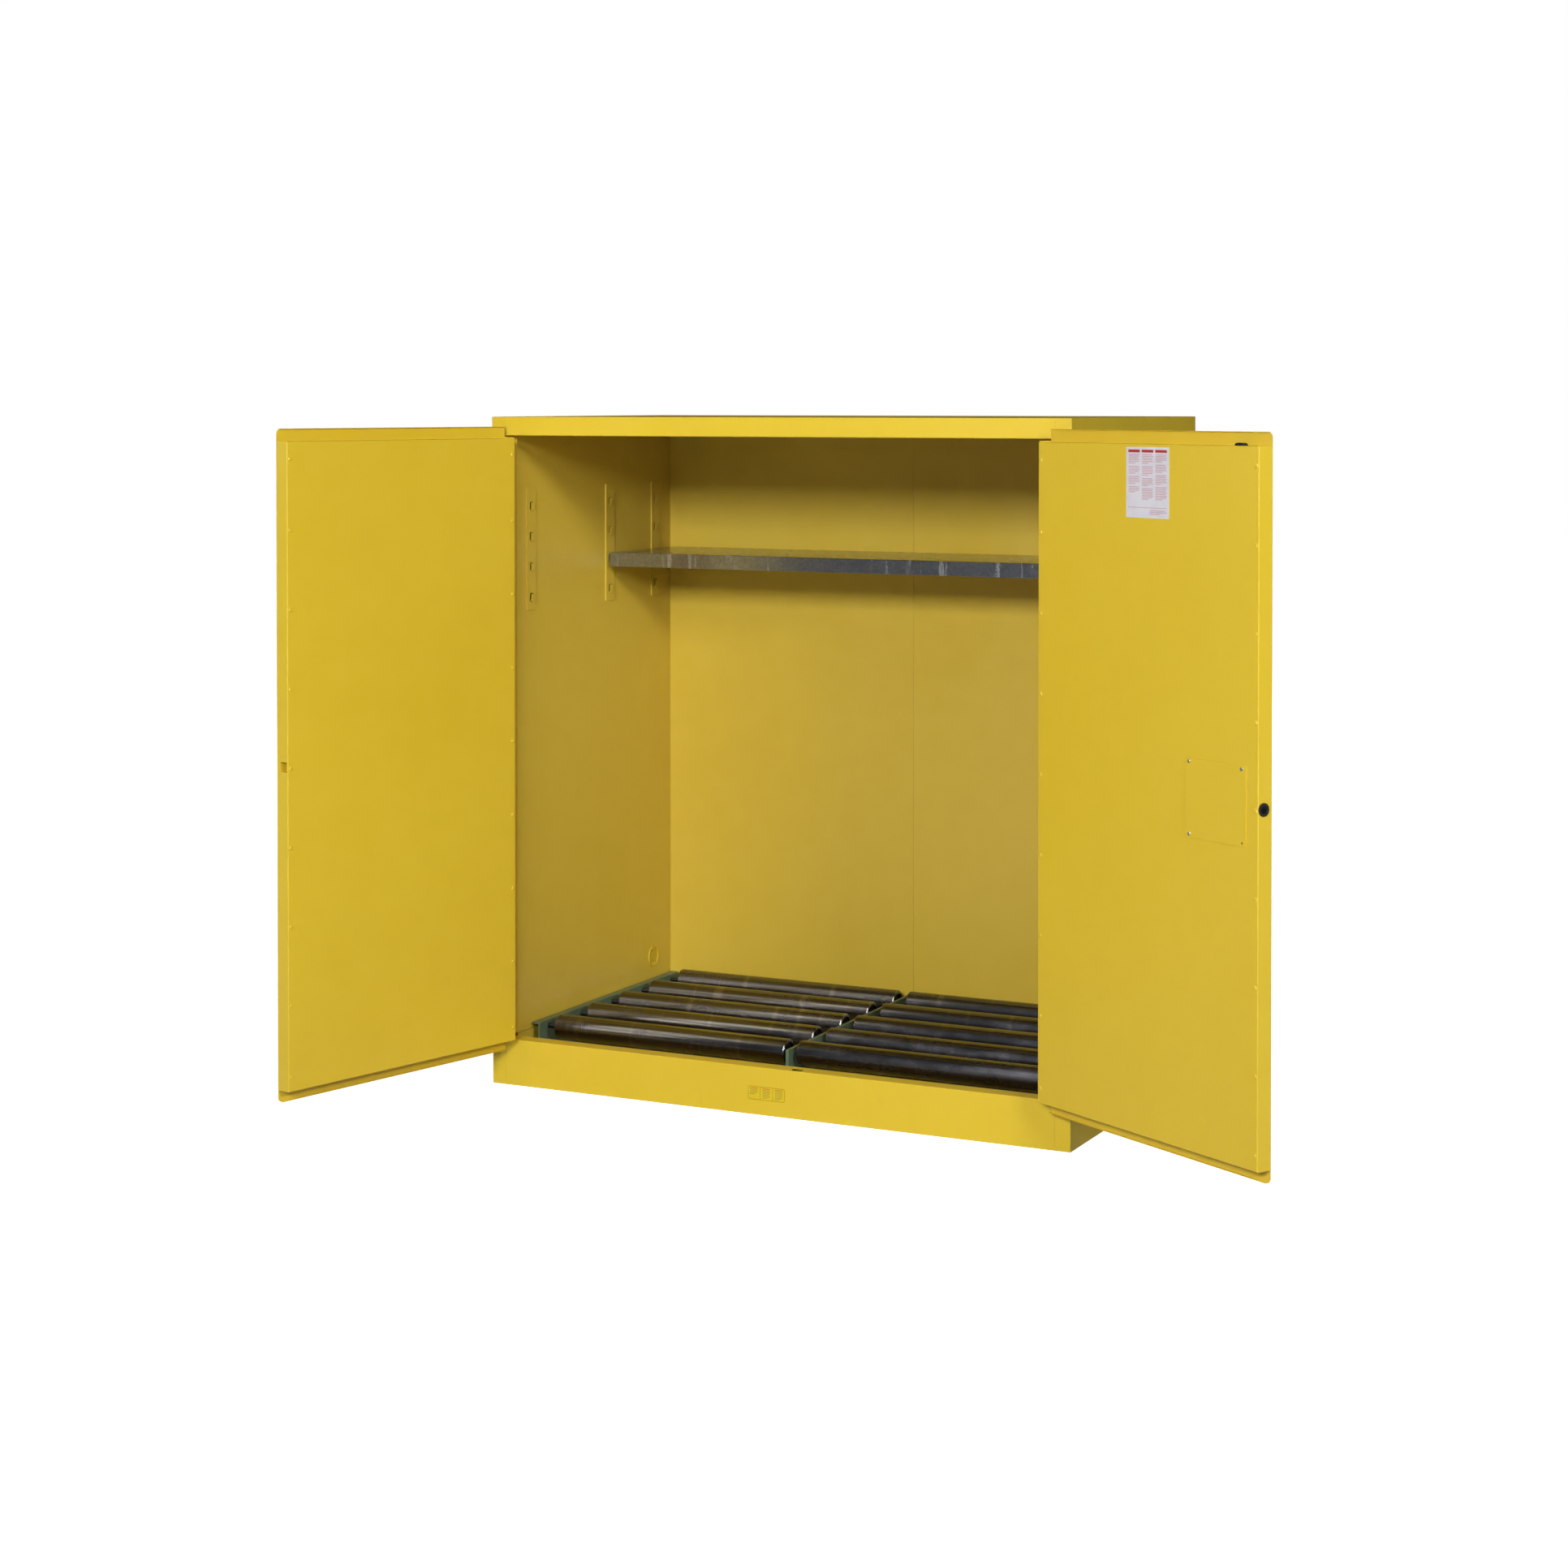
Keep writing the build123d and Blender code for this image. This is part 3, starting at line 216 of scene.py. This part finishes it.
def steel(name, light, dark, rough, metallic=0.95, grain=300.0, stretch=(1, 1, 1), spots=0.0):
    """Plated or bare steel hardware with handling marks."""
    mat, tree, shader = new_material(name)
    cloud = noise(tree, 45.0, 5.0, 0.6)
    base = mix(tree, ramp(tree, cloud, 0.35, 0.7), dark, light)
    if spots:
        rust = noise(tree, 120.0, 6.0, 0.7, offset=(2.0, 8.0, 5.0))
        base = mix(tree, ramp(tree, rust, 0.6, 0.72, 0.0, spots), base, rgb(96, 62, 38))
    tree.links.new(base, shader.inputs["Base Color"])
    shader.inputs["Metallic"].default_value = metallic
    fine = noise(tree, grain, 3.0, 0.6, stretch)
    tree.links.new(ramp(tree, fine, 0.3, 0.7, rough - 0.06, rough + 0.1), shader.inputs["Roughness"])
    rounded = add(tree, "Bevel", {"Radius": 0.0004}, samples=4).outputs["Normal"]
    tree.links.new(bump(tree, fine, 0.00008, 0.4, rounded), shader.inputs["Normal"])
    return mat


def plastic(name, colour, rough=0.42, grain=900.0):
    """Moulded plastic with a fine grain."""
    mat, tree, shader = new_material(name)
    cloud = noise(tree, 60.0, 3.0, 0.5)
    lighter = tuple(min(1.0, c * 1.5 + 0.01) for c in colour[:3]) + (1.0,)
    tree.links.new(mix(tree, ramp(tree, cloud, 0.35, 0.75), colour, lighter), shader.inputs["Base Color"])
    fine = noise(tree, grain, 2.0, 0.5)
    tree.links.new(ramp(tree, fine, 0.3, 0.7, rough - 0.05, rough + 0.08), shader.inputs["Roughness"])
    tree.links.new(bump(tree, fine, 0.00006, 0.5), shader.inputs["Normal"])
    return mat


def print_ink(name, colour, paper=False):
    """Printed or bare label film, a little yellowed and handled."""
    mat, tree, shader = new_material(name)
    fade = noise(tree, 22.0, 4.0, 0.6)
    tired = tuple(c * 0.86 for c in colour[:3]) + (1.0,)
    tree.links.new(mix(tree, ramp(tree, fade, 0.4, 0.8), colour, tired), shader.inputs["Base Color"])
    fine = noise(tree, 500.0, 2.0, 0.5)
    spread = (0.30, 0.42) if paper else (0.36, 0.5)
    tree.links.new(ramp(tree, fine, 0.3, 0.7, *spread), shader.inputs["Roughness"])
    tree.links.new(bump(tree, fine, 0.00003, 0.4), shader.inputs["Normal"])
    return mat


body_paint = enamel("body_enamel", rgb(218, 188, 47), rgb(213, 182, 41), rgb(223, 194, 57))
# The inside enamel is the body yellow painted a little darker and greyer: painted shade for the cabinet's inside.
inner_paint_painted_shade = enamel("inner_enamel_painted_shade", rgb(209, 181, 64), rgb(204, 175, 57), rgb(215, 188, 73))
door_paint = enamel("door_enamel", rgb(218, 187, 48), rgb(214, 182, 43), rgb(222, 193, 57))
rail_paint = enamel("rail_enamel", rgb(90, 110, 86), rgb(76, 95, 73), rgb(110, 127, 104), wear=0.5, rough=0.45)
shelf_metal = galvanised("galvanised_sheet")
roller_metal = roller_tube("roller_tube")
zinc = steel("zinc_plate", rgb(196, 194, 186), rgb(158, 156, 150), 0.34, spots=0.25)
dark_steel = steel("oiled_steel", rgb(96, 98, 104), rgb(48, 49, 54), 0.24)
# Axle steel is near black: oiled steel, darkened further as painted shade on the stubs between the rail webs and
# the roller ends.
axle_steel_painted_shade = steel("axle_steel_painted_shade", rgb(58, 60, 57), rgb(36, 38, 36), 0.5, stretch=(0.05, 1, 1), spots=0.35)
chrome = steel("chrome_plate", rgb(214, 214, 216), rgb(188, 189, 193), 0.12, 1.0, 700.0)
brass = steel("bare_brass", rgb(196, 160, 92), rgb(160, 124, 62), 0.32, spots=0.15)
casting = steel("painted_casting", rgb(112, 112, 108), rgb(84, 84, 82), 0.58, 0.35, 240.0)
black = plastic("black_plastic", rgb(22, 22, 23))
label_film = print_ink("label_film", rgb(212, 212, 222), True)
ink_red = print_ink("label_red", rgb(176, 42, 44))
ink_grey = print_ink("label_grey", rgb(196, 160, 172))
tag_film = print_ink("tag_film", rgb(219, 192, 30), True)
ink_brown = print_ink("tag_brown", rgb(168, 132, 28))
ink_orange = print_ink("tag_orange", rgb(206, 122, 34))
ink_olive = print_ink("tag_olive", rgb(176, 154, 48))

finish = {
    "body_yellow": body_paint,
    "door_yellow": door_paint,
    "rail_grey": rail_paint,
    "galvanised": shelf_metal,
    "zinc_steel": zinc,
    "roller_steel": roller_metal,
    "brass": brass,
    "black_plastic": black,
    "handle_chrome": chrome,
    "cast_metal": casting,
    "label_white": label_film,
}
slot_of = {row["node"]: row["material_slot"] for row in record["subparts"]}
own_finish = {
    "top_rod": dark_steel,
    "bottom_rod": dark_steel,
    "middle_bolt": dark_steel,
    # Axles and bearings take the near-black steel: painted shade at the roller ends.
    "roller_axles": axle_steel_painted_shade,
    "roller_bearings": axle_steel_painted_shade,
    "access_screws": chrome,
    "vents": body_paint,
}
inner_walls = (
    "left_liner", "right_liner", "back_liner_left", "back_liner_right", "top_liner", "floor_pan", "shelf_standards",
)
# The liners, floor pan and shelf standards take the darker, greyer enamel as painted shade.
own_finish.update({name: inner_paint_painted_shade for name in inner_walls})
for name, obj in nodes.items():
    look = own_finish.get(name) or finish.get(slot_of[name], tag_film)
    obj.data.materials.clear()
    obj.data.materials.append(look)

# ---------------------------------------------------------------- places taken from the frame
joints = {joint["name"]: joint for joint in frame["joints"]}


def door_frame(side):
    """Matrix of a door's own axes: X along the door from the hinge, Y inwards, Z up."""
    joint = joints[f"{side}_door_swing"]
    pivot = Vector(joint["pos_m"])
    sign = -1 if side == "left" else 1
    opening = radians(-joint["range_deg"][0])
    along = Vector((-sign * cos(opening), -sin(opening), 0))
    inward = Vector((0, 0, 1)).cross(along) * -sign
    matrix = Matrix.Identity(4)
    for column, axis in enumerate((along, inward, Vector((0, 0, 1)))):
        for row in range(3):
            matrix[row][column] = axis[row]
    matrix.translation = Vector((pivot.x, pivot.y, 0)) + inward * 0.005
    return matrix


doors = {side: door_frame(side) for side in ("left", "right")}


def local_box(node, side):
    """Extent of a CAD node along a door's own axes."""
    back = doors[side].inverted()
    points = [back @ vertex.co for vertex in nodes[node].data.vertices]
    return [(min(p[i] for p in points), max(p[i] for p in points)) for i in range(3)]


def place(mesh, name, body, material_list, slot, matrix=None):
    """Turns a bmesh into a named piece that rides on a body."""
    data = bpy.data.meshes.new(name)
    mesh.to_mesh(data)
    mesh.free()
    if matrix is not None:
        data.transform(matrix)
        if matrix.to_3x3().determinant() < 0:
            data.flip_normals()
    for material in material_list:
        data.materials.append(material)
    obj = bpy.data.objects.new(name, data)
    bpy.context.scene.collection.objects.link(obj)
    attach(obj, body)
    return obj


def slab(mesh, x, y, z, material=0):
    """Adds a closed box between limits on each axis."""
    made = bmesh.ops.create_cube(mesh, size=1.0)
    verts = made["verts"]
    for vert in verts:
        vert.co = Vector([
            (lo + hi) / 2 + part * (hi - lo) for (lo, hi), part in zip((x, y, z), vert.co)
        ])
    for face in {face for vert in verts for face in vert.link_faces}:
        face.material_index = material


# ---------------------------------------------------------------- printed labels
(u0, u1), (n0, n1), (z0, z1) = local_box("door_label", "right")
FILM, INK = 0.00022, 0.00028
sheet = bmesh.new()
slab(sheet, (u0, u1), (n0, n0 + FILM), (z0, z1))
ink = (n0 + FILM, n0 + INK)
margin, gutter = 0.007, 0.006
LINE_PITCH, LINE_HIGH = 0.00365, 0.0019
column = (u1 - u0 - 2 * margin - 2 * gutter) / 3
paragraphs = ((6, 5, 5, 4), (6, 6, 5, 7), (5, 5, 6, 8))


def text_lines(mesh, left, right, top, count, depth, material, seed):
    """Rows of print as plain bars with ragged right ends; returns the height below the last row."""
    for row in range(count):
        ragged = 0.42 if row == count - 1 else 0.11 * ((row * 7 + seed * 3) % 5) / 4
        slab(mesh, (left, right - (right - left) * ragged), depth, (top - LINE_HIGH, top), material)
        top -= LINE_PITCH
    return top


for index, blocks in enumerate(paragraphs):
    left = u0 + margin + index * (column + gutter)
    slab(sheet, (left, left + column), ink, (z1 - 0.0115, z1 - 0.0055), 1)
    line = z1 - 0.0150
    for seed, count in enumerate(blocks):
        line = text_lines(sheet, left + 0.001, left + column, line, count, ink, 2, seed + index) - 0.0034
slab(sheet, (u0 + margin, u1 - margin), ink, (z0 + 0.0215, z0 + 0.0222), 1)
text_lines(sheet, u0 + 0.55 * (u1 - u0), u1 - margin, z0 + 0.0170, 3, ink, 2, 1)
place(sheet, "door_label_sheet", "right_door", [label_film, ink_red, ink_grey], "label_white", doors["right"])
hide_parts("door_label")

lo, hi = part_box("sill_label")
TAG_INK, TAG_RIM, TAG_CORNER, ARC_STEPS = 0.00006, 0.0011, 0.006, 6
tag_front, tag_back = lo[1], hi[1]
tag = bmesh.new()
slab(tag, (lo[0], hi[0]), (tag_front + TAG_INK, tag_back), (lo[2], hi[2]))


def rounded_outline(inset):
    """Points of a rounded rectangle inside the tag's edges."""
    radius = TAG_CORNER - inset
    points = []
    for corner in range(4):
        middle_x = hi[0] - TAG_CORNER if corner in (0, 3) else lo[0] + TAG_CORNER
        middle_z = hi[2] - TAG_CORNER if corner in (0, 1) else lo[2] + TAG_CORNER
        for step in range(ARC_STEPS + 1):
            turn = radians(90 * (corner + step / ARC_STEPS))
            points.append((middle_x + radius * cos(turn), middle_z + radius * sin(turn)))
    return points


outer, inner = rounded_outline(0.0012), rounded_outline(0.0012 + TAG_RIM)
rings = [
    [tag.verts.new((x, depth, z)) for x, z in outline]
    for outline, depth in (
        (outer, tag_front + 0.00001), (inner, tag_front + 0.00001),
        (inner, tag_front + TAG_INK), (outer, tag_front + TAG_INK),
    )
]
for ring, following in zip(rings, rings[1:] + rings[:1]):
    for index in range(len(ring)):
        nxt = (index + 1) % len(ring)
        tag.faces.new((ring[index], ring[nxt], following[nxt], following[index])).material_index = 1
bmesh.ops.recalc_face_normals(tag, faces=tag.faces)
tag_ink = (tag_front + 0.00001, tag_front + TAG_INK)
third = (hi[0] - lo[0]) / 3
for index, count in enumerate((4, 6, 6)):
    left = lo[0] + index * third
    if index:
        slab(tag, (left - TAG_RIM / 2, left + TAG_RIM / 2), tag_ink, (lo[2] + 0.0022, hi[2] - 0.0022), 1)
    slab(tag, (left + 0.006, left + third - 0.006), tag_ink, (hi[2] - 0.0068, hi[2] - 0.0046), 2)
    text_lines(tag, left + 0.006, left + third - 0.006, hi[2] - 0.0084, count, tag_ink, 3, index)
place(tag, "sill_tag", "cabinet", [tag_film, ink_brown, ink_orange, ink_olive], slot_of["sill_label"])
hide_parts("sill_label")

# ---------------------------------------------------------------- floor, light, camera
floor_mesh = bmesh.new()
FLOOR_HALF = 30.0
bmesh.ops.create_grid(floor_mesh, x_segments=1, y_segments=1, size=FLOOR_HALF)
floor_data = bpy.data.meshes.new("studio_floor")
floor_mesh.to_mesh(floor_data)
floor_mesh.free()
floor = bpy.data.objects.new("studio_floor", floor_data)
bpy.context.scene.collection.objects.link(floor)
floor_mat, floor_tree, floor_shader = new_material("studio_floor")
floor_shader.inputs["Base Color"].default_value = (0.5, 0.5, 0.5, 1.0)
floor_shader.inputs["Roughness"].default_value = 0.9
floor_shader.inputs["Specular IOR Level"].default_value = 0.1
floor_shader.inputs["Emission Color"].default_value = (1.0, 1.0, 1.0, 1.0)
GLOW_NEAR, GLOW_FAR = 0.94, 1.0
floor_seen = add(floor_tree, "LightPath").outputs["Is Camera Ray"]
floor_place = add(floor_tree, "TexCoord").outputs["Object"]
floor_reach = add(floor_tree, "VectorMath", {0: floor_place}, operation="LENGTH").outputs["Value"]
floor_glow = ramp(floor_tree, floor_reach, 1.5, 4.0, GLOW_NEAR, GLOW_FAR)
floor_tree.links.new(math(floor_tree, "MULTIPLY", floor_seen, floor_glow), floor_shader.inputs["Emission Strength"])
floor_data.materials.append(floor_mat)

world = bpy.data.worlds.new("studio")
bpy.context.scene.world = world
world.use_nodes = True
world_tree = world.node_tree
background = world_tree.nodes["Background"]
background.inputs["Color"].default_value = (1.0, 1.0, 1.0, 1.0)
AMBIENT, BACKDROP = 0.03, 1.0
seen = add(world_tree, "LightPath").outputs["Is Camera Ray"]
world_tree.links.new(ramp(world_tree, seen, 0.0, 1.0, AMBIENT, BACKDROP), background.inputs["Strength"])


def lamp(name, location, target, size, power):
    """Square area light aimed at a point."""
    data = bpy.data.lights.new(name, "AREA")
    data.shape = "RECTANGLE"
    data.size, data.size_y = size
    data.energy = power
    obj = bpy.data.objects.new(name, data)
    obj.location = location
    aim = Vector(target) - Vector(location)
    obj.rotation_euler = aim.to_track_quat("-Z", "Y").to_euler()
    bpy.context.scene.collection.objects.link(obj)
    return obj


RING_BASE_Z = 1.4
RING_AIM = (0.0, 0.0, 0.9)


def light_ring(name, azimuth, slope, size, power, radius=8.5):
    """Soft box on a circle round the cabinet: azimuth from the front to the right, slope as rise over run."""
    turn = radians(azimuth)
    spot = (radius * sin(turn), -radius * cos(turn), RING_BASE_Z + radius * slope)
    return lamp(name, spot, RING_AIM, size, power)


light_ring("key", 54.0, 0.33, (2.4, 1.1), 330.0)
light_ring("front", 9.0, 0.25, (3.0, 1.2), 520.0)
light_ring("fill", -56.0, 0.18, (3.0, 1.2), 62.0)
gloss_box = light_ring("overhead", 14.0, 0.8, (3.8, 2.4), 400.0, 5.5)
gloss_box.visible_diffuse = False
for name, azimuth, slope, power in (("rear_left", 212.0, 0.45, 290.0), ("rear_right", 186.0, 0.35, 270.0)):
    light_ring(name, azimuth, slope, (3.0, 1.4), power).visible_glossy = False

view = bpy.context.scene.view_settings
view.view_transform = "Standard"

camera_data = bpy.data.cameras.new("photo_camera")
camera = bpy.data.objects.new("photo_camera", camera_data)
bpy.context.scene.collection.objects.link(camera)
camera_data.sensor_width = 36.0
camera_data.lens = 66.82
camera_data.shift_y = -0.2132
camera_data.clip_end = 200.0
camera.location = (3.04488, -6.514, 1.67643)
camera.rotation_euler = (radians(90 - 0.96), 0.0, radians(26.28))
bpy.context.scene.camera = camera
